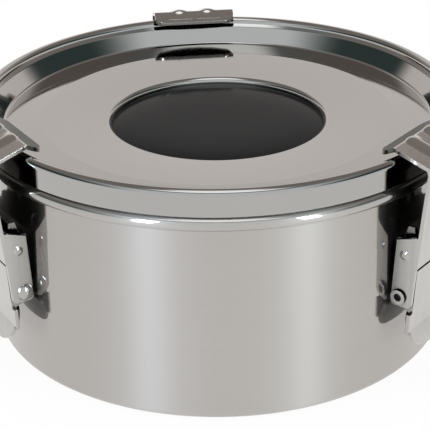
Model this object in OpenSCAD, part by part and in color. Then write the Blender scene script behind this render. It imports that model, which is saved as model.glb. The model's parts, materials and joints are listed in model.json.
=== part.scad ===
/* [Canister] */
// outer diameter of the canister's straight wall
can_d = 120; // [100:1:150]
// height of the top of the rolled rim above the table
rim_z = 53.75; // [40:0.25:120]
// sheet thickness of wall and floor
wall_t = 0.8; // [0.5:0.1:1.5]
// outside radius of the corner between wall and floor
foot_r = 2; // [1:0.5:6]
// section radius of the rolled rim
curl_r = 1.6; // [1.2:0.1:2.5]
// gap between the end of the rolled rim and the wall
curl_gap = 0.4; // [0.2:0.1:0.6]

/* [Lid] */
// sheet thickness of the lid
lid_t = 0.7; // [0.5:0.1:1.2]
// gap between the lid's skirt and the rolled rim
lid_gap = 0.3; // [0.2:0.1:1]
// overall height of the lid's outer skirt and ridge
lid_h = 6.25; // [5:0.25:12]
// radial width of the half-round ridge
ridge_w = 3.2; // [2.4:0.1:6]
// distance from the ridge to the break at the top of the inner wall
wall_in = 0.9; // [0.4:0.1:2]
// drop from the ridge's inner side to that break
wall_break = 0.8; // [0.4:0.1:2]
// distance from the ridge's middle in to the foot of the inner wall
wall_foot_in = 4.7; // [3:0.1:8]
// depth of the inner wall's foot below the ridge top
wall_foot_down = 6.6; // [4:0.1:8]
// distance from the ridge's middle in to the disc's edge
disc_in = 10; // [6:0.1:16]
// depth of the disc below the ridge top, at the badge recess
disc_drop = 7.2; // [5:0.1:10]
// how much lower the disc's edge lies than its middle
disc_fall = 0.9; // [0:0.1:2]
// how much wider the badge recess is at the disc than at its floor
recess_slope = 0.8; // [0.3:0.1:3]
// depth of the badge recess below the disc
recess_h = 2.7; // [1:0.1:3]

/* [Gasket] */
// clearance between the gasket and the lid's channel walls
gasket_gap = 0.1; // [0.05:0.05:0.3]
// clearance between the gasket and the rolled rim
gasket_rest = 0.02; // [0.01:0.01:0.1]

/* [Badge] */
// badge radius
badge_r = 27.3; // [18:0.05:34]
// clearance between the badge's edge and the foot of the recess wall
badge_gap = 0.2; // [0.1:0.05:1]
// straight edge height of the badge
badge_edge = 0.7; // [0.4:0.1:2]
// rise of the badge's dome above its edge
badge_dome_h = 0.9; // [0.3:0.1:2]
// thickness of the adhesive pad under the badge
pad_t = 0.3; // [0.2:0.1:1]
// number of bands the dome is built from
dome_steps = 5; // [3:1:8]
// width of the flat at the dome's crown, as a share of the badge
dome_flat = 0.3; // [0.1:0.05:0.6]
// how far the pad stays in from the badge's edge
pad_in = 0.85; // [0.5:0.05:3]

/* [Latch positions] */
// direction of the rear latch around the can
rear_az = 96.6; // [80:0.1:110]
// direction of the left latch around the can
left_az = 211.5; // [195:0.1:225]
// direction of the right latch around the can
right_az = 323; // [310:0.1:340]

/* [Latch] */
// sheet thickness of hook and lever
latch_t = 0.9; // [0.7:0.1:1.2]
// width of the hook over its flanges
hook_w = 22.9; // [18:0.1:28]
// side gap between hook and lever, and between lever and bracket
nest_gap = 0.3; // [0.2:0.05:0.5]
// distance of the lever's pivot from the wall
pivot_out = 2.5; // [2.3:0.1:5]
// how far the lever's pivot lies below the lid's ridge
pivot_down = 23.3; // [18:0.1:30]
// distance of the hook's pivot from the wall
hook_out = 1.6; // [1.4:0.1:4]
// how far the hook's pivot lies below the lever's pivot
hook_down = 11.8; // [8:0.1:16]
// pin diameter
pin_d = 2.4; // [2:0.1:3]
// radial clearance of the lever and hook on their pins
pin_fit = 0.06; // [0.02:0.01:0.1]
// radial clearance of a pin in the plate that holds it
seat_fit = 0.02; // [0.01:0.01:0.04]

/* [Hook] */
// lip's free edge, out from the wall
lip_out = -5.6; // [-9:0.1:-3]
// how far the lip's free edge lies below the ridge
lip_down = 1.4; // [1:0.1:3]
// inner bend, out from the wall
bend_in = -1.5; // [-3:0.1:0]
// height of the inner bend above the ridge
bend_in_up = 1.9; // [1.5:0.1:4]
// outer bend, out from the wall
bend_out = 7.5; // [6:0.1:10]
// how far the outer bend lies below the ridge
bend_out_down = 0.9; // [0:0.1:3]
// front plate's top, out from the wall
front_top = 7.9; // [6:0.05:11]
// how far the front plate's top lies below the ridge
front_top_down = 2.2; // [1.5:0.1:5]
// front plate's lower edge, out from the wall
front_low = 5.6; // [4:0.05:9]
// height of the front plate's lower edge above the hook's pivot
front_low_up = 8.55; // [6:0.05:12]
// side flange's inner edge at its top, out from the wall
flange_in = 0.4; // [0.3:0.1:2]
// side flange's inner edge at its foot, out from the wall
flange_foot_in = -0.5; // [-0.6:0.1:1]
// side flange's outer edge at its foot, out from the wall
flange_foot_out = 5; // [4:0.1:7]
// height of the flange's inner top corner above the hook's pivot
flange_up = 14.8; // [12:0.1:18]
// how much higher the flange's outer top corner is
flange_rise = 2; // [0:0.1:4]
// how far the flange reaches below the hook's pivot
flange_down = 2.5; // [2:0.1:4]
// radius of the flange's lower corners
flange_r = 1.2; // [0.5:0.1:2]
// radius of the lip's corners
lip_corner = 2; // [1:0.5:4]
// distance of each stiffening rib from the hook's centre line
rib_off = 4.1; // [3:0.1:6]
// rib width
rib_w = 5; // [3:0.5:7]
// rib height above the plate
rib_h = 0.5; // [0.3:0.1:0.8]
// dimple diameter on each flange
dimple_d = 2.4; // [1.5:0.1:3]
// dimple height
dimple_h = 0.35; // [0.2:0.05:0.5]
// dimple's distance out from the wall
dimple_out = 2.6; // [2:0.1:4]
// height of the dimple above the hook's pivot
dimple_up = 11.3; // [8:0.1:13]

/* [Lever] */
// lever web's outer face at its top, out from the wall
web_top = 5.6; // [4:0.1:8]
// gap between the front plate's lower edge and the lever's web
web_gap = 0.65; // [0.3:0.05:2]
// lever web's outer face at the crease, out from the wall
web_low = 4.9; // [3:0.1:7]
// how far the crease lies below the hook's pivot
crease_down = 4.2; // [3.5:0.1:7]
// thumb tab's outer face where it starts to flare, out from the wall
flare_start = 4.7; // [3:0.1:7]
// how far the flare starts below the crease
flare_down = 5; // [2:0.5:8]
// thumb tab's end, out from the wall
tab_out = 6.8; // [5:0.1:12]
// how far the tab's end lies below the crease
tab_down = 9.8; // [6:0.1:14]
// half width of the thumb tab at its end
tab_half = 10.4; // [8:0.1:12]
// radius of the thumb tab's end corners
tab_corner = 5; // [1:0.5:7]
// radius of the lever's ears around the pivot
ear_r = 2.1; // [1.8:0.1:2.3]
// back edge of the lever's ears, out from the wall
ear_back = -0.2; // [-0.4:0.1:0.6]

/* [Bracket] */
// bracket plate thickness
base_t = 0.9; // [0.7:0.1:1.2]
// how far the bracket reaches below the lever's pivot
base_down = 10; // [6:0.5:14]
// how far the bracket's plate reaches above the lever's pivot
base_up = 2.4; // [2.2:0.1:5]
// how far the bracket's ears reach above the lever's pivot
base_ear_up = 6; // [3:0.1:7]
// outer edge of the bracket's ears at their top, out from the wall
base_ear_out = 3.6; // [2.5:0.1:4]
// inner edge of the bracket's ears at their top, out from the wall
base_ear_in = 2; // [1:0.1:3]

/* [Pins] */
// diameter of the hook rivet's domed head
head_d = 4.3; // [3.4:0.1:5]
// height of the domed head
head_h = 1.1; // [0.6:0.1:1.5]
// outer diameter of the hook rivet's flared end
flare_d = 3.8; // [3:0.1:4.5]
// length of the flared end
flare_h = 0.6; // [0.4:0.1:1]
// hole in the flared end
flare_hole = 2; // [1:0.1:2.2]

/* [Hidden] */
$fn = 96;
can_r = can_d / 2;
curl_c = can_r - wall_t + curl_r;
lid_low = rim_z + lid_gap;
ridge_top = lid_low + lid_h;
ridge_r = ridge_w / 2;
skirt_r = curl_c + ridge_r / 3;
ridge_c = skirt_r - ridge_r;
ridge_z = ridge_top - ridge_r;
mid_r = ridge_r - lid_t / 2;
disc_z = ridge_top - disc_drop;
recess_floor_r = badge_r + badge_gap;
recess_top_r = recess_floor_r + recess_slope;
floor_z = disc_z - recess_h;
pivot_z = ridge_top - pivot_down;
hook_z = pivot_z - hook_down;
lip_z = ridge_top - lip_down;
bend_in_z = ridge_top + bend_in_up;
bend_out_z = ridge_top - bend_out_down;
front_top_z = ridge_top - front_top_down;
front_low_z = hook_z + front_low_up;
web_top_z = front_low_z - web_gap - latch_t / 2;
crease_z = hook_z - crease_down;
half_w = hook_w / 2;
lever_half = half_w - latch_t - nest_gap;
base_half = lever_half - latch_t - nest_gap;
pin_r = pin_d / 2;
pin_half = lever_half + nest_gap / 3;
head_r = head_d / 2;
dome_r = (head_r * head_r + head_h * head_h) / (2 * head_h);
badge_z = floor_z + pad_t;
big = 2 * can_d;
eps = 0.01;
corner_steps = 5;

steel = [0.78, 0.77, 0.75];
zinc = [0.7, 0.7, 0.7];
rubber = [0.85, 0.85, 0.82];
black = [0.08, 0.08, 0.09];
grey = [0.4, 0.4, 0.42];

// badge radius at step i of its dome
function dome_at(i) = badge_r * (dome_flat + (1 - dome_flat) * sqrt(1 - i / dome_steps));

// how far out the middle of the hook's front plate is at a height
function front_at(z) = front_low + (front_top - front_low) * (z - front_low_z) / (front_top_z - front_low_z);

// points around a quarter corner, clockwise from angle start
function corner_arc(c, r, start) = [for (i = [0 : corner_steps])
    c + r * [cos(start - 90 * i / corner_steps), sin(start - 90 * i / corner_steps)]];

// a straight run of sheet from a to b
module strip(a, b, t) {
    d = b - a;
    translate(a) rotate(atan2(d[1], d[0])) translate([0, -t / 2]) square([norm(d), t]);
}

// a whole bent sheet along a list of points, rounded at each bend
module sheet(pts, t) {
    for (i = [0 : len(pts) - 2]) strip(pts[i], pts[i + 1], t);
    for (i = [1 : len(pts) - 2]) translate(pts[i]) circle(d = t);
}

// turns a latch profile (out from the wall, height) into a plate of width w
module across(w) {
    translate([can_r, 0, 0]) rotate([90, 0, 0]) translate([0, 0, -w / 2]) linear_extrude(w) children();
}

// both side plates of thickness t whose outer faces are half apart
module cheeks(half, t) {
    for (s = [-1, 1]) translate([can_r, s * (half - t / 2), 0]) rotate([90, 0, 0])
        translate([0, 0, -t / 2]) linear_extrude(t) children();
}

// a pin along the latch's width
module pin(out, z, r, half) {
    translate([can_r + out, 0, z]) rotate([90, 0, 0]) cylinder(h = 2 * half, r = r, center = true);
}

module canister_body() {
    color(steel) rotate_extrude() {
        difference() {
            union() {
                translate([can_r - foot_r, foot_r]) circle(r = foot_r);
                square([can_r - foot_r, wall_t]);
                translate([can_r - foot_r, foot_r]) square([foot_r, rim_z - curl_r - foot_r]);
            }
            translate([can_r - foot_r, foot_r]) circle(r = foot_r - wall_t);
            translate([0, wall_t]) square([can_r - foot_r, rim_z]);
            translate([can_r - foot_r - eps, foot_r]) square([foot_r - wall_t + eps, rim_z]);
        }
        difference() {
            translate([curl_c, rim_z - curl_r]) circle(r = curl_r);
            translate([curl_c, rim_z - curl_r]) circle(r = curl_r - wall_t);
            translate([can_r, rim_z - 2 * curl_r]) square([curl_gap, curl_r]);
        }
    }
}

module lid() {
    in_r = ridge_c - mid_r;
    color(steel) rotate_extrude() {
        translate([skirt_r - lid_t, lid_low]) square([lid_t, ridge_z - lid_low]);
        difference() {
            translate([ridge_c, ridge_z]) circle(r = ridge_r);
            translate([ridge_c, ridge_z]) circle(r = ridge_r - lid_t);
            translate([0, ridge_z - ridge_w]) square([can_d, ridge_w]);
        }
        sheet([
            [in_r, ridge_z],
            [in_r - wall_in, ridge_z - wall_break],
            [ridge_c - wall_foot_in, ridge_top - wall_foot_down - lid_t / 2],
            [ridge_c - disc_in, disc_z - disc_fall - lid_t / 2],
            [recess_top_r, disc_z - lid_t / 2],
            [recess_floor_r, floor_z - lid_t / 2]
        ], lid_t);
        translate([0, floor_z - lid_t]) square([recess_floor_r, lid_t]);
    }
}

module lid_gasket() {
    low = rim_z + gasket_rest;
    in_r = ridge_c - ridge_r + lid_t + gasket_gap;
    out_r = skirt_r - lid_t - gasket_gap;
    color(rubber) rotate_extrude() difference() {
        union() {
            translate([in_r, low]) square([out_r - in_r, ridge_z - low]);
            translate([ridge_c, ridge_z]) circle(r = (out_r - in_r) / 2);
        }
        translate([0, low - ridge_w]) square([can_d, ridge_w]);
    }
}

module badge_backing() {
    color(grey) translate([0, 0, floor_z]) cylinder(h = pad_t, r = badge_r - pad_in);
}

module badge_dome() {
    color(black) {
        translate([0, 0, badge_z]) cylinder(h = badge_edge, r = badge_r);
        for (i = [0 : dome_steps - 1]) translate([0, 0, badge_z + badge_edge + i * badge_dome_h / dome_steps])
            cylinder(h = badge_dome_h / dome_steps, r1 = dome_at(i), r2 = dome_at(i + 1));
    }
}

module latch_base(az) {
    color(zinc) rotate([0, 0, az]) difference() {
        union() {
            intersection() {
                translate([0, 0, pivot_z - base_down]) cylinder(h = base_down + base_up, r = can_r + base_t);
                translate([0, -base_half, 0]) cube([can_d, 2 * base_half, rim_z]);
            }
            cheeks(base_half, base_t) {
                polygon([
                    [-curl_r, pivot_z - ear_r],
                    [pivot_out, pivot_z - ear_r],
                    [pivot_out + ear_r, pivot_z],
                    [base_ear_out, pivot_z + base_ear_up],
                    [base_ear_in, pivot_z + base_ear_up],
                    [base_t, pivot_z + base_up],
                    [-curl_r, pivot_z + base_up]
                ]);
                translate([pivot_out, pivot_z]) circle(r = ear_r);
            }
        }
        translate([0, 0, -eps]) cylinder(h = can_d, r = can_r + eps);
        pin(pivot_out, pivot_z, pin_r + seat_fit, half_w);
    }
}

module latch_base_pin(az) {
    color(zinc) rotate([0, 0, az]) pin(pivot_out, pivot_z, pin_r, pin_half);
}

// a flat plate in the latch's width that runs down from one profile point to another
module leaning(from, to, t) {
    run = to[0] - from[0];
    fall = from[1] - to[1];
    translate([can_r + from[0] - t, 0, from[1]]) rotate([0, atan2(fall, run), 0]) linear_extrude(t) children();
}

// the lever's thumb tab: straight below the crease, then flared and rounded
module thumb_tab() {
    mid = [flare_start, crease_z - flare_down];
    upper = norm([web_low - flare_start, flare_down]);
    long = norm([tab_out - flare_start, tab_down - flare_down]);
    straight = max(long - tab_corner, eps);
    leaning([web_low, crease_z], mid, latch_t) translate([0, -half_w]) square([upper + eps, hook_w]);
    across(hook_w) translate([flare_start - latch_t / 2, mid[1]]) circle(d = latch_t);
    leaning(mid, [tab_out, crease_z - tab_down], latch_t) {
        polygon([[0, -half_w], [straight, -tab_half], [straight, tab_half], [0, half_w]]);
        translate([straight - eps, tab_corner - tab_half]) square([tab_corner + eps, 2 * (tab_half - tab_corner)]);
        for (s = [-1, 1]) translate([straight, s * (tab_half - tab_corner)]) circle(r = tab_corner);
    }
}

module latch_lever(az) {
    t2 = latch_t / 2;
    color(zinc) rotate([0, 0, az]) difference() {
        union() {
            across(2 * lever_half) {
                strip([web_top - t2, web_top_z], [web_low - t2, crease_z], latch_t);
                translate([web_low - t2, crease_z]) circle(d = latch_t);
            }
            thumb_tab();
            cheeks(lever_half, latch_t) {
                polygon([
                    [pivot_out, pivot_z + ear_r],
                    [pivot_out - ear_r, pivot_z],
                    [ear_back, hook_z],
                    [ear_back, hook_z - ear_r],
                    [web_low - latch_t, crease_z],
                    [web_low - t2, crease_z],
                    [web_top - t2, web_top_z],
                    [pivot_out + ear_r, pivot_z]
                ]);
                translate([pivot_out, pivot_z]) circle(r = ear_r);
            }
        }
        pin(pivot_out, pivot_z, pin_r + pin_fit, half_w);
        pin(hook_out, hook_z, pin_r + pin_fit, half_w);
    }
}

module lip_outline() {
    in_x = can_r + lip_out - latch_t;
    translate([in_x + lip_corner, -half_w]) square([big, hook_w]);
    translate([in_x, lip_corner - half_w]) square([lip_corner, hook_w - 2 * lip_corner]);
    for (s = [-1, 1]) translate([in_x + lip_corner, s * (half_w - lip_corner)]) circle(r = lip_corner);
}

module latch_hook(az) {
    t2 = latch_t / 2;
    foot_z = hook_z - flange_down;
    flange_top_z = hook_z + flange_up + flange_rise;
    rib_in = [bend_in + latch_t * 2, bend_in_z - (latch_t * 2) * (bend_in_z - bend_out_z) / (bend_out - bend_in)];
    color(zinc) rotate([0, 0, az]) difference() {
        union() {
            intersection() {
                across(hook_w) sheet([
                    [lip_out, lip_z],
                    [bend_in, bend_in_z],
                    [bend_out, bend_out_z],
                    [front_top, front_top_z],
                    [front_low, front_low_z]
                ], latch_t);
                linear_extrude(can_d) lip_outline();
            }
            for (s = [-1, 1]) translate([0, s * rib_off, rib_h]) across(rib_w)
                strip(rib_in, [bend_out, bend_out_z], latch_t);
            cheeks(half_w, latch_t) {
                polygon(concat(
                    [[flange_in, hook_z + flange_up]],
                    [[front_at(flange_top_z) + t2 / 3, flange_top_z]],
                    [[front_low + t2 / 3, front_low_z]],
                    corner_arc([flange_foot_out - flange_r, foot_z + flange_r], flange_r, 0),
                    corner_arc([flange_foot_in + flange_r, foot_z + flange_r], flange_r, -90)
                ));
            }
            for (s = [-1, 1]) translate([can_r + dimple_out, s * half_w, hook_z + dimple_up]) rotate([-90 * s, 0, 0])
                cylinder(h = dimple_h, r1 = dimple_d / 2, r2 = dimple_d / 4);
        }
        pin(hook_out, hook_z, pin_r + seat_fit, half_w + latch_t);
    }
}

module latch_hook_pin(az) {
    color(steel) rotate([0, 0, az]) {
        difference() {
            union() {
                pin(hook_out, hook_z, pin_r, half_w + eps);
                translate([can_r + hook_out, half_w, hook_z]) rotate([-90, 0, 0]) intersection() {
                    cylinder(h = head_h, r = head_r);
                    translate([0, 0, head_h - dome_r]) sphere(r = dome_r);
                }
                translate([can_r + hook_out, -half_w, hook_z]) rotate([90, 0, 0])
                    cylinder(h = flare_h, r1 = pin_r, r2 = flare_d / 2);
            }
            translate([can_r + hook_out, -half_w, hook_z]) rotate([90, 0, 0])
                translate([0, 0, -latch_t]) cylinder(h = latch_t + flare_h + eps, r = flare_hole / 2);
        }
    }
}

canister_body();
lid();
lid_gasket();
badge_backing();
badge_dome();
latch_base(rear_az);  // latch_base_rear
latch_base_pin(rear_az);  // latch_base_pin_rear
latch_lever(rear_az);  // latch_lever_rear
latch_hook(rear_az);  // latch_hook_rear
latch_hook_pin(rear_az);  // latch_hook_pin_rear
latch_base(left_az);  // latch_base_left
latch_base_pin(left_az);  // latch_base_pin_left
latch_lever(left_az);  // latch_lever_left
latch_hook(left_az);  // latch_hook_left
latch_hook_pin(left_az);  // latch_hook_pin_left
latch_base(right_az);  // latch_base_right
latch_base_pin(right_az);  // latch_base_pin_right
latch_lever(right_az);  // latch_lever_right
latch_hook(right_az);  // latch_hook_right
latch_hook_pin(right_az);  // latch_hook_pin_right
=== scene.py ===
import bpy
import bmesh
import json
import math
from mathutils import Vector, Matrix

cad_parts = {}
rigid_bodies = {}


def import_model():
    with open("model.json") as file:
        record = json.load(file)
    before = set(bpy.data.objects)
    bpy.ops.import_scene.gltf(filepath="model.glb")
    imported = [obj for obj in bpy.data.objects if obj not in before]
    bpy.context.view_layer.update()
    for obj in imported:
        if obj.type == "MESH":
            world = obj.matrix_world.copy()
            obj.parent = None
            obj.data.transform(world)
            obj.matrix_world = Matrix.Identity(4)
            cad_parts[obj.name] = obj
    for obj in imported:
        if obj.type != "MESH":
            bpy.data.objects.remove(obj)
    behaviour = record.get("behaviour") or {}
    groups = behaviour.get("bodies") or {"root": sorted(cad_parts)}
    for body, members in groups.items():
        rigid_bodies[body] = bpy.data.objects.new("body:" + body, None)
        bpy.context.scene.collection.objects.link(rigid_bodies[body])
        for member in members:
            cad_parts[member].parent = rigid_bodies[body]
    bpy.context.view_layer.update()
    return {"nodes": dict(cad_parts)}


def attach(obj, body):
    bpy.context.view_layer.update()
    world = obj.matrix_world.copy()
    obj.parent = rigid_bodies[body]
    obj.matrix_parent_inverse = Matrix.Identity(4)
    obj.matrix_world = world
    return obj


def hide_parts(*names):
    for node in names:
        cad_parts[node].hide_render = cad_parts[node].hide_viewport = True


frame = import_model()

# ---------------------------------------------------------------- shared numbers, in mm and degrees
MM = 0.001
CAN_R = 60.0
LATCHES = {"rear": 96.6, "left": 211.5, "right": 323.0}
BODY_LID = "lid"


# ---------------------------------------------------------------- node helpers
def put(nt, value, socket):
    """Links value where it is a socket, and sets it where it is a number or a colour."""
    if isinstance(value, bpy.types.NodeSocket):
        nt.links.new(value, socket)
    else:
        socket.default_value = (*value, 1) if isinstance(value, tuple) else value


def calc(nt, op, a, b=None):
    n = nt.nodes.new("ShaderNodeMath")
    n.operation = op
    put(nt, a, n.inputs[0])
    if b is not None:
        put(nt, b, n.inputs[1])
    return n.outputs[0]


def remap(nt, value, lo, hi, out_lo=0.0, out_hi=1.0, kind="LINEAR"):
    n = nt.nodes.new("ShaderNodeMapRange")
    n.interpolation_type = kind
    for key, v in (("From Min", lo), ("From Max", hi), ("To Min", out_lo), ("To Max", out_hi)):
        n.inputs[key].default_value = v
    nt.links.new(value, n.inputs["Value"])
    return n.outputs[0]


def blend(nt, fac, a, b, kind="MIX"):
    n = nt.nodes.new("ShaderNodeMix")
    n.data_type = "RGBA"
    n.blend_type = kind
    put(nt, fac, n.inputs["Factor"])
    put(nt, a, n.inputs["A"])
    put(nt, b, n.inputs["B"])
    return n.outputs["Result"]


def noise(nt, coords, scale, detail):
    n = nt.nodes.new("ShaderNodeTexNoise")
    n.inputs["Scale"].default_value = scale
    n.inputs["Detail"].default_value = detail
    nt.links.new(coords, n.inputs["Vector"])
    return n.outputs["Fac"]


def bump_from(nt, height, strength, distance):
    n = nt.nodes.new("ShaderNodeBump")
    n.inputs["Strength"].default_value = strength
    n.inputs["Distance"].default_value = distance
    nt.links.new(height, n.inputs["Height"])
    return n


def seen_rays(nt):
    """1 for camera, glossy and transmission rays, else 0."""
    lp = nt.nodes.new("ShaderNodeLightPath")
    seen = calc(nt, "MAXIMUM", lp.outputs["Is Camera Ray"], lp.outputs["Is Glossy Ray"])
    return calc(nt, "MAXIMUM", seen, lp.outputs["Is Transmission Ray"])


def new_mat(name):
    m = bpy.data.materials.new(name)
    m.use_nodes = True
    return m, m.node_tree, m.node_tree.nodes["Principled BSDF"]


# ---------------------------------------------------------------- materials
GRAIN_ALONG = 1.6         # grain cells a radian, along the grain
GRAIN_ACROSS = 2600.0     # grain cells a metre, across it
FREE_GRAIN = (900, 900, 60)
FLECK = (0.3, 0.7)        # the part of a noise's range that is spread over the whole change
SMUDGE_SCALE = 55.0
# how far the painted shade looks for nearby sheet, in metres
PAINTED_SHADE_REACH = 0.012
METAL_BUMP = 0.00002
PLAIN_BUMP = 0.00003


def grain_coords(nt, place, mode):
    """Where the grain's noise is read: round the wall, round the disc, or stretched along Z."""
    if mode == "free":
        stretch = nt.nodes.new("ShaderNodeMapping")
        stretch.inputs["Scale"].default_value = FREE_GRAIN
        nt.links.new(place, stretch.inputs[0])
        return stretch.outputs[0]
    sep = nt.nodes.new("ShaderNodeSeparateXYZ")
    nt.links.new(place, sep.inputs[0])
    if mode == "wall":
        across = sep.outputs["Z"]
    else:
        flat = nt.nodes.new("ShaderNodeCombineXYZ")
        nt.links.new(sep.outputs["X"], flat.inputs[0])
        nt.links.new(sep.outputs["Y"], flat.inputs[1])
        length = nt.nodes.new("ShaderNodeVectorMath")
        length.operation = "LENGTH"
        nt.links.new(flat.outputs[0], length.inputs[0])
        across = length.outputs["Value"]
    angle = calc(nt, "ARCTAN2", sep.outputs["Y"], sep.outputs["X"])
    comb = nt.nodes.new("ShaderNodeCombineXYZ")
    nt.links.new(calc(nt, "MULTIPLY", angle, GRAIN_ALONG), comb.inputs[0])
    nt.links.new(calc(nt, "MULTIPLY", across, GRAIN_ACROSS), comb.inputs[1])
    return comb.outputs[0]


def metal(name, color, rough, mode, bump, vary=0.03, rough_vary=0.05, edge=0.0, painted_shade=0.0):
    """Polished sheet metal with a fine grain along the way it was drawn, and optional painted shade
    where the sheet is shut in.
    """
    m, nt, b = new_mat(name)
    b.inputs["Metallic"].default_value = 1.0
    place = nt.nodes.new("ShaderNodeTexCoord").outputs["Object"]
    grain = noise(nt, grain_coords(nt, place, mode), 1.0, 3.0)
    base = blend(nt, 1.0, color, remap(nt, grain, *FLECK, 1.0 - vary, 1.0), "MULTIPLY")
    if painted_shade > 0:
        # painted shade: the base colour is darkened by ambient occlusion where the sheet is shut in
        ao = nt.nodes.new("ShaderNodeAmbientOcclusion")
        ao.samples = 8
        ao.inputs["Distance"].default_value = PAINTED_SHADE_REACH
        base = blend(nt, 1.0, base, calc(nt, "POWER", ao.outputs["AO"], painted_shade), "MULTIPLY")
    nt.links.new(base, b.inputs["Base Color"])
    # roughness: large soft smudges
    smudge = noise(nt, place, SMUDGE_SCALE, 2.0)
    nt.links.new(remap(nt, smudge, *FLECK, rough, rough + rough_vary), b.inputs["Roughness"])
    bp = bump_from(nt, grain, bump, METAL_BUMP)
    nt.links.new(bp.outputs[0], b.inputs["Normal"])
    if edge > 0:
        bev = nt.nodes.new("ShaderNodeBevel")
        bev.samples = 4
        bev.inputs["Radius"].default_value = edge
        nt.links.new(bev.outputs[0], bp.inputs["Normal"])
    return m


def grain_lobe(m, rough, share, amount):
    """Adds the wide lobe of a grain that runs around Z: it smears light across the grain."""
    nt = m.node_tree
    first = nt.nodes["Principled BSDF"]
    wide = nt.nodes.new("ShaderNodeBsdfPrincipled")
    wide.inputs["Metallic"].default_value = 1.0
    wide.inputs["Roughness"].default_value = rough
    wide.inputs["Anisotropic"].default_value = amount
    wide.inputs["Anisotropic Rotation"].default_value = 0.25
    tangent = nt.nodes.new("ShaderNodeTangent")
    tangent.direction_type = "RADIAL"
    tangent.axis = "Z"
    nt.links.new(tangent.outputs[0], wide.inputs["Tangent"])
    nt.links.new(first.inputs["Base Color"].links[0].from_socket, wide.inputs["Base Color"])
    mix = nt.nodes.new("ShaderNodeMixShader")
    mix.inputs[0].default_value = share
    nt.links.new(first.outputs[0], mix.inputs[1])
    nt.links.new(wide.outputs[0], mix.inputs[2])
    nt.links.new(mix.outputs[0], nt.nodes["Material Output"].inputs[0])


def plain(name, color, rough, scale=1500.0, bump=0.1):
    """Rubber, foam or lacquer with a faint fleck."""
    m, nt, b = new_mat(name)
    place = nt.nodes.new("ShaderNodeTexCoord").outputs["Object"]
    fleck = noise(nt, place, scale, 2.0)
    nt.links.new(blend(nt, fleck, tuple(c * 0.92 for c in color), color), b.inputs["Base Color"])
    top = min(1.0, rough * 1.25 + 0.01)
    nt.links.new(remap(nt, fleck, 0.0, 1.0, rough, top), b.inputs["Roughness"])
    nt.links.new(bump_from(nt, fleck, bump, PLAIN_BUMP).outputs[0], b.inputs["Normal"])
    return m


steel_body = metal("steel_body", (0.50, 0.478, 0.455), 0.045, "wall", 0.03, rough_vary=0.02)
grain_lobe(steel_body, 0.50, 0.30, 0.9)
steel_lid = metal("steel_lid", (0.43, 0.418, 0.405), 0.06, "disc", 0.05, rough_vary=0.03)
# the latch and rivet steels carry painted shade in their shut-in places and round the rivets
steel_latch = metal("steel_latch", (0.55, 0.535, 0.51), 0.085, "free", 0.12,
                    vary=0.08, rough_vary=0.04, edge=0.0002, painted_shade=1.4)
steel_rivet = metal("steel_rivet", (0.47, 0.46, 0.44), 0.05, "free", 0.04,
                    rough_vary=0.02, edge=0.00015, painted_shade=0.7)
# painted dark reflection for the top of the left and right hooks' lips
steel_lip_painted_reflection = metal("steel_lip_painted_reflection", (0.095, 0.10, 0.095), 0.30, "free", 0.2, vary=0.25)
# painted shade for the bottom of the rivets' flared ends
hollow_painted_shade = plain("rivet_hollow_painted_shade", (0.02, 0.018, 0.016), 0.6)
rubber = plain("gasket_rubber", (0.72, 0.72, 0.68), 0.6)
pad = plain("badge_pad", (0.05, 0.05, 0.05), 0.8)
badge_mat = plain("badge_gloss", (0.008, 0.008, 0.009), 0.14, scale=400.0, bump=0.02)
badge_mat.node_tree.nodes["Principled BSDF"].inputs["Specular IOR Level"].default_value = 0.045


def dress(obj, mat):
    obj.data.materials.clear()
    obj.data.materials.append(mat)


# ---------------------------------------------------------------- shape helpers
BEND_STEP = 6             # degrees between two points of a bend
FINE = 320                # steps round the canister and the lid


def arc(cx, cz, r, a0, a1, n):
    """n + 1 points on a circle, from angle a0 to angle a1."""
    return [(cx + r * math.cos(math.radians(a0 + (a1 - a0) * i / n)),
             cz + r * math.sin(math.radians(a0 + (a1 - a0) * i / n))) for i in range(n + 1)]


def spin(name, profile, seg, closed, sharp):
    """Turns a profile of (radius, height) around Z; a closed one joins its last point to its first."""
    bm = bmesh.new()
    rings = []
    for r, z in profile:
        if r < 1e-6:
            rings.append([bm.verts.new((0, 0, z * MM))])
        else:
            turns = [2 * math.pi * i / seg for i in range(seg)]
            rings.append([bm.verts.new((r * MM * math.cos(t), r * MM * math.sin(t), z * MM))
                          for t in turns])
    pairs = list(zip(rings, rings[1:])) + ([(rings[-1], rings[0])] if closed else [])
    for a, b in pairs:
        if len(a) == 1 and len(b) == 1:
            continue
        for i in range(seg):
            j = (i + 1) % seg
            if len(a) == 1:
                bm.faces.new((a[0], b[j], b[i]))
            elif len(b) == 1:
                bm.faces.new((a[i], a[j], b[0]))
            else:
                bm.faces.new((a[i], a[j], b[j], b[i]))
    bmesh.ops.recalc_face_normals(bm, faces=bm.faces)
    me = bpy.data.meshes.new(name)
    bm.to_mesh(me)
    bm.free()
    for p in me.polygons:
        p.use_smooth = True
    me.set_sharp_from_angle(angle=math.radians(sharp))
    o = bpy.data.objects.new(name, me)
    bpy.context.collection.objects.link(o)
    return o


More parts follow.
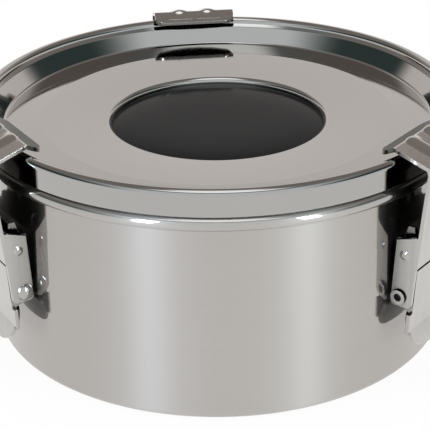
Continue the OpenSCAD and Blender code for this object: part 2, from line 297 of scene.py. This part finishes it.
def rounded(pts):
    """Midline of a bent sheet: corners (x, z, bend radius) turned into arcs, as (x, z, nx, nz)."""
    out = []
    last = len(pts) - 1
    for i, (x, z, r) in enumerate(pts):
        if i in (0, last):
            ends = pts[:2] if i == 0 else pts[-2:]
            q = (Vector(ends[1][:2]) - Vector(ends[0][:2])).normalized()
            out.append((x, z, q.y, -q.x))
            continue
        d0 = (Vector((x, z)) - Vector(pts[i - 1][:2])).normalized()
        d1 = (Vector(pts[i + 1][:2]) - Vector((x, z))).normalized()
        turn = math.atan2(d0.x * d1.y - d0.y * d1.x, d0.dot(d1))
        back = r * math.tan(abs(turn) / 2)
        start = Vector((x, z)) - d0 * back
        centre = start + Vector((-d0.y, d0.x)) * math.copysign(1.0, turn) * r
        v = start - centre
        steps = max(3, int(abs(math.degrees(turn)) / BEND_STEP))
        for k in range(steps + 1):
            t = turn * k / steps
            c, s = math.cos(t), math.sin(t)
            pos = centre + Vector((v.x * c - v.y * s, v.x * s + v.y * c))
            d = Vector((d0.x * c - d0.y * s, d0.x * s + d0.y * c))
            out.append((pos.x, pos.y, d.y, -d.x))
    return out


# ---------------------------------------------------------------- canister
RIM_Z = 53.75
WALL = 0.8
FOOT_R = 2.0
FOOT_AT = CAN_R - FOOT_R
CURL_R = 1.6
CURL_AT = CAN_R - WALL + CURL_R
CURL_Z = RIM_Z - CURL_R
CURL_START = -118         # degrees: where the rim's curl leaves the wall
NECK_OUT = 0.03
can_profile = (
    [(0, 0), (FOOT_AT, 0)] + arc(FOOT_AT, FOOT_R, FOOT_R, -90, 0, 8)[1:]
    + [(CAN_R, CURL_Z - CURL_R * 0.55), (CAN_R + NECK_OUT, CURL_Z - CURL_R * 0.8)]
    + arc(CURL_AT, CURL_Z, CURL_R, CURL_START, 180, 40)
    + [(CAN_R - WALL, FOOT_R)] + arc(FOOT_AT, FOOT_R, FOOT_R - WALL, 0, -90, 6)[1:]
    + [(0, WALL)]
)
can = spin("canister_shell", can_profile, FINE, False, 35)
dress(can, steel_body)
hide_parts("canister_body")
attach(can, "canister")

# ---------------------------------------------------------------- lid
SHEET = 0.7
HALF = SHEET / 2
SKIRT_Z = 54.05
TOP = 60.3
RIDGE_R = 1.6
RIDGE_MID = RIDGE_R - HALF
SKIRT_R = CURL_AT + RIDGE_R / 3
RIDGE_AT = SKIRT_R - RIDGE_R
RIDGE_Z = TOP - RIDGE_R
RIDGE_IN = RIDGE_AT - RIDGE_MID
SLOPE_FOOT_R = RIDGE_AT - 4.7
SLOPE_FOOT_Z = TOP - 6.6
CREASE_R = 45.0
CREASE_Z = 54.3
RECESS_R = 27.8
RECESS_FOOT_R = 27.55
DISC_Z = TOP - 7.2
RECESS_Z = DISC_Z - 2.7
MIDDLE_R = 12.0           # inside this the recess is one flat face
# corners of the sheet's midline, from the ridge inwards: radius, height, bend radius
corners = [
    (RIDGE_IN, RIDGE_Z + 0.08, 0),
    (RIDGE_IN, RIDGE_Z, 0.5),
    (RIDGE_IN - 0.9, RIDGE_Z - 0.8, 0.7),
    (SLOPE_FOOT_R, SLOPE_FOOT_Z - HALF, 1.2),
    (CREASE_R, CREASE_Z - HALF, 3.0),
    (RECESS_R, DISC_Z - HALF, 1.0),
    (RECESS_FOOT_R, RECESS_Z - HALF, 0.38),
    (MIDDLE_R, RECESS_Z - HALF, 0),
]
lid_mid = [(SKIRT_R - HALF, SKIRT_Z, 1, 0)]
lid_mid += [(x, z, (x - RIDGE_AT) / RIDGE_MID, (z - RIDGE_Z) / RIDGE_MID)
            for x, z in arc(RIDGE_AT, RIDGE_Z, RIDGE_MID, 0, 168, 30)]
lid_mid += rounded(corners)[1:]
lid_top = [(x + nx * HALF, z + nz * HALF) for x, z, nx, nz in lid_mid] + [(0, RECESS_Z)]
lid_low = [(0, RECESS_Z - SHEET)]
lid_low += [(x - nx * HALF, z - nz * HALF) for x, z, nx, nz in reversed(lid_mid)]
lid = spin("lid_pressing", lid_top + lid_low, FINE, True, 50)
dress(lid, steel_lid)
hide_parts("lid")
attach(lid, BODY_LID)

# ---------------------------------------------------------------- gasket
GASKET_GAP = 0.1
GASKET_LOW = 53.77
GASKET_EDGE = 53.95
GASKET_CUT = 0.15
g_in = RIDGE_AT - RIDGE_R + SHEET + GASKET_GAP
g_out = SKIRT_R - SHEET - GASKET_GAP
gasket_profile = (
    [(g_in + GASKET_CUT, GASKET_LOW), (g_out - GASKET_CUT, GASKET_LOW)]
    + [(g_out, GASKET_EDGE), (g_out, RIDGE_Z)]
    + arc((g_out + g_in) / 2, RIDGE_Z, (g_out - g_in) / 2, 0, 180, 12)[1:]
    + [(g_in, GASKET_EDGE)]
)
gask = spin("gasket_ring", gasket_profile, 192, True, 35)
dress(gask, rubber)
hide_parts("lid_gasket")
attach(gask, BODY_LID)

# ---------------------------------------------------------------- badge
BADGE_R = 27.3
PAD_T = 0.3
EDGE_H = 0.7
EDGE_IN = 0.15
EDGE_UP = 0.1
DOME_H = 0.88
DOME_STEPS = 40
DOME_SPACING = 1.6        # above 1 the points lie closer together near the edge
DOME_POWER = 5.5          # how flat the dome's middle is
badge_z = RECESS_Z + PAD_T
edge_z = badge_z + EDGE_H
dome = [(0, badge_z), (BADGE_R - EDGE_IN, badge_z), (BADGE_R, badge_z + EDGE_UP), (BADGE_R, edge_z)]
for i in range(1, DOME_STEPS + 1):
    t = (i / DOME_STEPS) ** DOME_SPACING
    dome.append((BADGE_R * (1 - t), edge_z + DOME_H * (1 - (1 - t) ** DOME_POWER)))
badge = spin("badge_lens", dome, 256, False, 60)
dress(badge, badge_mat)
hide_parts("badge_dome")
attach(badge, BODY_LID)

# ---------------------------------------------------------------- latches
# r is the distance from the canister's axis in the latch's direction, t runs along its width
LIP_IN = 58.5          # r of the bend between the top plate and the lip
LIP_SLOPE = 0.763      # fall of the solid's lip
LIP_RAISE = 0.34       # how much less it falls here
LIP_END = 54.12
CORNER_AT = 55.5       # r where the solid's corner starts
CORNER_LONG = 2.7
CORNER_WIDE = 3.4
CORNER_FROM = 8.0      # the corners' points have a larger t than this
LIP_LOW = 56.0         # the lip's points are higher than this
# r up to which the lip's top gets the painted dark reflection
LIP_PAINTED_REFLECTION_TO = LIP_IN - 0.2
LIP_SKIN = 0.1         # faces of the lip's top lie no higher than this above plate_z
HOOK_HALF = 11.45
PLATE_Z = 62.65
PLATE_SLOPE = 0.31
RIB_AT = 4.1
RIB_HALF = 3.4
RIB_H = 0.75
RIB_START = 55.4
RIB_LONG = 12.7
RIB_RISE = (56.4, 59.6)
RIB_FALL = (66.9, 68.1)
RIB_SINK = 0.06        # how deep a rib's edge lies in the plate
RIB_BASE = -0.4        # a rib's closed underside, inside the plate
RIB_ROWS = 30
RIB_COLS = 14
SOLID_RIB_HALF = 2.6   # the solid's own ribs: half their width, the least height, and how low they go
SOLID_RIB_H = 0.3
SOLID_RIB_DROP = 0.1
RIVET_OUT = 1.6        # the hook pin's axis: how far outside the wall, and how high
RIVET_Z = 25.2
RIVET_HOLE = 1.02


def plate_z(r):
    """Height of the hook's top face at r."""
    if r < LIP_IN:
        return PLATE_Z - (LIP_SLOPE - LIP_RAISE) * (LIP_IN - r)
    return PLATE_Z - PLATE_SLOPE * (r - LIP_IN)


def ease(v, lo, hi):
    """0 below lo, 1 above hi and a smooth rise between them."""
    u = min(max((v - lo) / (hi - lo), 0.0), 1.0)
    return u * u * (3 - 2 * u)


def add_ribs(mesh, place):
    """Two softly pressed ribs that run from the lip, over its bend, to the front of the top plate.

    place(r, t, z) gives a point in the mesh's own frame.
    """
    bm = bmesh.new()
    bm.from_mesh(mesh)
    for at in (-RIB_AT, RIB_AT):
        rows = []
        for i in range(RIB_ROWS + 1):
            r = RIB_START + RIB_LONG * i / RIB_ROWS
            end = ease(r, *RIB_RISE) * (1 - ease(r, *RIB_FALL))
            row = []
            for j in range(RIB_COLS + 1):
                u = 2 * j / RIB_COLS - 1
                h = RIB_H * math.cos(u * math.pi / 2) ** 2 * end
                row.append(tuple(bm.verts.new(place(r, at + u * RIB_HALF, plate_z(r) + dz))
                                 for dz in (h - RIB_SINK, RIB_BASE)))
            rows.append(row)
        for i in range(RIB_ROWS):
            for j in range(RIB_COLS):
                quad = (rows[i][j], rows[i + 1][j], rows[i + 1][j + 1], rows[i][j + 1])
                bm.faces.new([v[0] for v in quad]).smooth = True
                bm.faces.new([v[1] for v in reversed(quad)])
        rim = (rows[0][:RIB_COLS] + [row[RIB_COLS] for row in rows[:RIB_ROWS]]
               + rows[RIB_ROWS][:0:-1] + [row[0] for row in rows[:0:-1]])
        for v, w in zip(rim, rim[1:] + rim[:1]):
            bm.faces.new((v[0], w[0], w[1], v[1]))
    bmesh.ops.recalc_face_normals(bm, faces=[f for f in bm.faces if len(f.verts) == 4])
    bm.to_mesh(mesh)
    bm.free()


def flat_lip(node, body, az):
    """A copy of the hook with pressed ribs and a flatter, rounder lip over the ridge."""
    o = bpy.data.objects.new("skin_" + node.name, node.data.copy())
    bpy.context.collection.objects.link(o)
    o.matrix_world = node.matrix_world.copy()
    ca, sa = math.cos(math.radians(az)), math.sin(math.radians(az))
    inv = o.matrix_world.inverted()

    def place(r, t, z):
        return inv @ (Vector((r * ca - t * sa, r * sa + t * ca, z)) * MM)

    def where(co):
        w = o.matrix_world @ co
        return (w.x * ca + w.y * sa) / MM, (w.y * ca - w.x * sa) / MM, w.z / MM

    for v in o.data.vertices:
        r, t, z = where(v.co)
        if r < LIP_IN and z > LIP_LOW:
            if r < CORNER_AT + 0.02 and abs(t) > CORNER_FROM:
                q = min(max((CORNER_AT - r) / (CORNER_AT - LIP_END), 0.0), 1.0) * math.pi / 2
                cut_r = LIP_END + (1 - math.sin(q)) * CORNER_LONG
                t = math.copysign(HOOK_HALF - CORNER_WIDE * (1 - math.cos(q)), t)
                z += (cut_r - r) * LIP_SLOPE
                r = cut_r
            v.co = place(r, t, z + (LIP_IN - r) * LIP_RAISE)
        elif r > CAN_R and abs(abs(t) - RIB_AT) < SOLID_RIB_HALF and z > plate_z(r) + SOLID_RIB_H:
            # the solid's flat-topped ribs make way for the rounded ones
            v.co = place(r, t, plate_z(r) - SOLID_RIB_DROP)
    add_ribs(o.data, place)
    if body != "hook_rear":
        # painted dark reflection: the top of the lip is painted near-black on the left and right
        # hooks, not on the rear one
        o.data.materials.append(steel_lip_painted_reflection)
        for f in o.data.polygons:
            r, _, z = where(f.center)
            if r < LIP_PAINTED_REFLECTION_TO and f.normal.z > 0.5 and z < plate_z(r) + LIP_SKIN:
                f.material_index = 1
    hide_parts(node.name)
    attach(o, body)


def paint_hollow_shade(node, az):
    """The flared end of a rivet is open: its bottom is painted near-black as painted shade."""
    a = math.radians(az)
    out = Vector((math.cos(a), math.sin(a), 0))
    along = Vector((-math.sin(a), math.cos(a), 0))
    axis = out * (CAN_R + RIVET_OUT) * MM + Vector((0, 0, RIVET_Z * MM))
    node.data.materials.append(hollow_painted_shade)
    for f in node.data.polygons:
        d = node.matrix_world @ f.center - axis
        s = d.dot(along)
        if s < 0 and (d - along * s).length < RIVET_HOLE * MM:
            f.material_index = 1


dress(frame["nodes"]["badge_backing"], pad)
for n in LATCHES:
    dress(frame["nodes"]["latch_base_" + n], steel_latch)
    dress(frame["nodes"]["latch_lever_" + n], steel_latch)
    hook = frame["nodes"]["latch_hook_" + n]
    dress(hook, steel_latch)
    flat_lip(hook, "hook_" + n, LATCHES[n])
    dress(frame["nodes"]["latch_base_pin_" + n], steel_rivet)
    dress(frame["nodes"]["latch_hook_pin_" + n], steel_rivet)
    paint_hollow_shade(frame["nodes"]["latch_hook_pin_" + n], LATCHES[n])

# ---------------------------------------------------------------- floor, in metres
FLOOR_HALF = 3.0
FLOOR_Z = -0.0002
FLOOR_WHITE = 1.045
FLOOR_SHARE = 0.90
bm = bmesh.new()
bmesh.ops.create_grid(bm, x_segments=2, y_segments=2, size=FLOOR_HALF)
me = bpy.data.meshes.new("floor")
bm.to_mesh(me)
bm.free()
floor = bpy.data.objects.new("floor", me)
bpy.context.collection.objects.link(floor)
floor.location = (0, 0, FLOOR_Z)
fm, nt, b = new_mat("floor_white")
b.inputs["Base Color"].default_value = (0.84, 0.84, 0.84, 1)
b.inputs["Roughness"].default_value = 0.9
# to the camera and in reflections it is nine tenths plain white; the lit tenth keeps a soft shadow
em = nt.nodes.new("ShaderNodeEmission")
em.inputs["Color"].default_value = (1, 1, 1, 1)
em.inputs["Strength"].default_value = FLOOR_WHITE
floor_mix = nt.nodes.new("ShaderNodeMixShader")
nt.links.new(calc(nt, "MULTIPLY", seen_rays(nt), FLOOR_SHARE), floor_mix.inputs[0])
nt.links.new(b.outputs[0], floor_mix.inputs[1])
nt.links.new(em.outputs[0], floor_mix.inputs[2])
nt.links.new(floor_mix.outputs[0], nt.nodes["Material Output"].inputs[0])
floor.data.materials.append(fm)

# ---------------------------------------------------------------- world
WALL_FRONT, WALL_BACK = (0.93, 0.98, 1.0), (0.90, 0.865, 0.835)
CORNER_TONE = (0.42, 0.38, 0.36)
FLAG_TONE = (0.05, 0.075, 0.072)
CEILING_FRONT, CEILING_BACK = (0.27, 0.30, 0.30), (0.29, 0.26, 0.24)
CEILING_LIFT = 0.13
BOX_FRONT, BOX_ABOVE = (1.8, 1.9, 1.9), (1.7, 1.7, 1.75)
WHITE = (1.0, 1.0, 1.0)
UNSEEN_STRENGTH = 0.5
world = bpy.data.worlds.new("studio")
bpy.context.scene.world = world
world.use_nodes = True
wn = world.node_tree
bg = wn.nodes["Background"]


def step(v, lo, hi):
    return remap(wn, v, lo, hi, kind="SMOOTHSTEP")


def times(a, b):
    return calc(wn, "MULTIPLY", a, b)


# the studio as reflections see it, by direction: front is -Y, where the camera stands
ws = wn.nodes.new("ShaderNodeSeparateXYZ")
wn.links.new(wn.nodes.new("ShaderNodeTexCoord").outputs["Generated"], ws.inputs[0])
wx, wy, wz = ws.outputs["X"], ws.outputs["Y"], ws.outputs["Z"]
off = calc(wn, "ABSOLUTE", wx)
walls = blend(wn, step(wy, -0.25, 0.25), WALL_FRONT, WALL_BACK)
# darker corners high up behind, and dark flags high up at both sides
corner = times(times(step(off, 0.26, 0.40), step(wz, 0.26, 0.40)), step(wy, 0.1, 0.3))
walls = blend(wn, corner, walls, CORNER_TONE)
side = times(step(off, 0.50, 0.84), step(wz, 0.24, 0.34))
flagged = blend(wn, side, walls, FLAG_TONE)
# a grey ceiling that starts higher in front than behind
back = step(wy, -0.2, 0.2)
ceiling = blend(wn, back, CEILING_FRONT, CEILING_BACK)
lift = calc(wn, "SUBTRACT", CEILING_LIFT, times(back, CEILING_LIFT))
room = blend(wn, step(calc(wn, "SUBTRACT", wz, lift), 0.57, 0.70), flagged, ceiling)
# a soft box straight above the object, and one a little in front of that
middle = calc(wn, "SUBTRACT", 1.0, step(off, 0.25, 0.40))
front_box = times(step(times(wy, -1.0), 0.10, 0.20), middle)
room = blend(wn, times(front_box, step(wz, 0.86, 0.90)), room, BOX_FRONT)
room = blend(wn, step(wz, 0.972, 0.990), room, BOX_ABOVE)
# only glossy rays see the room; all others see plain white
glossy = wn.nodes.new("ShaderNodeLightPath").outputs["Is Glossy Ray"]
wn.links.new(blend(wn, glossy, WHITE, room), bg.inputs["Color"])
# and what only lights the object is half as strong as what is seen
strength = remap(wn, seen_rays(wn), 0.0, 1.0, UNSEEN_STRENGTH, 1.0)
wn.links.new(strength, bg.inputs["Strength"])


# ---------------------------------------------------------------- lamps, in metres and watts
LAMP_AIM = Vector((0, 0, 0.03))
KEYS = {
    "key_left": ((-0.491, -0.792, 0.30), 0.15, 5.0, (0.70, 0.83, 1.0)),
    "key_right": ((0.593, -0.722, 0.30), 0.13, 4.2, (0.84, 0.97, 1.0)),
}
KEY_HEIGHT = 0.6


def area(name, loc, width, height, power, color=(1, 1, 1)):
    d = bpy.data.lights.new(name, "AREA")
    d.shape = "RECTANGLE"
    d.size = width
    d.size_y = height
    d.energy = power
    d.color = color
    o = bpy.data.objects.new(name, d)
    bpy.context.collection.objects.link(o)
    o.location = loc
    o.rotation_euler = (LAMP_AIM - Vector(loc)).to_track_quat("-Z", "Y").to_euler()
    return o


# the two keys draw their bands down the canister's wall and leave the lid, badge and floor alone
keyed = bpy.data.collections.new("keyed")
for o in bpy.context.scene.objects:
    if o.type == "MESH" and o not in (lid, badge, floor):
        keyed.objects.link(o)
for name, (loc, width, power, color) in KEYS.items():
    key = area(name, loc, width, KEY_HEIGHT, power, color)
    key.light_linking.receiver_collection = keyed
area("top_soft", (0, 0.05, 1.1), 0.6, 0.6, 3).visible_glossy = False

# ------------------------------------- camera, fitted to the photograph, in radians, metres and pixels
PITCH, YAW, ROLL = 0.45689, -0.00311, -0.012866
CAM_Y, CAM_Z = -0.3301, 0.18684
FOCAL_PX = 1376.3
FRAME_PX = 430
SENSOR = 36            # mm
cam_d = bpy.data.cameras.new("photo_camera")
cam = bpy.data.objects.new("photo_camera", cam_d)
bpy.context.collection.objects.link(cam)
fw = Vector((math.sin(YAW) * math.cos(PITCH), math.cos(YAW) * math.cos(PITCH), -math.sin(PITCH)))
level = Vector((math.cos(YAW), -math.sin(YAW), 0))
up = level.cross(fw)
cam_x = math.cos(ROLL) * level + math.sin(ROLL) * up
cam_y = -math.sin(ROLL) * level + math.cos(ROLL) * up
cam.matrix_world = Matrix((
    (cam_x.x, cam_y.x, -fw.x, 0.0),
    (cam_x.y, cam_y.y, -fw.y, CAM_Y),
    (cam_x.z, cam_y.z, -fw.z, CAM_Z),
    (0, 0, 0, 1)))
cam_d.sensor_width = SENSOR
cam_d.lens = FOCAL_PX / FRAME_PX * SENSOR
cam_d.clip_start = 0.01
bpy.context.scene.camera = cam
bpy.context.scene.view_settings.view_transform = "Standard"
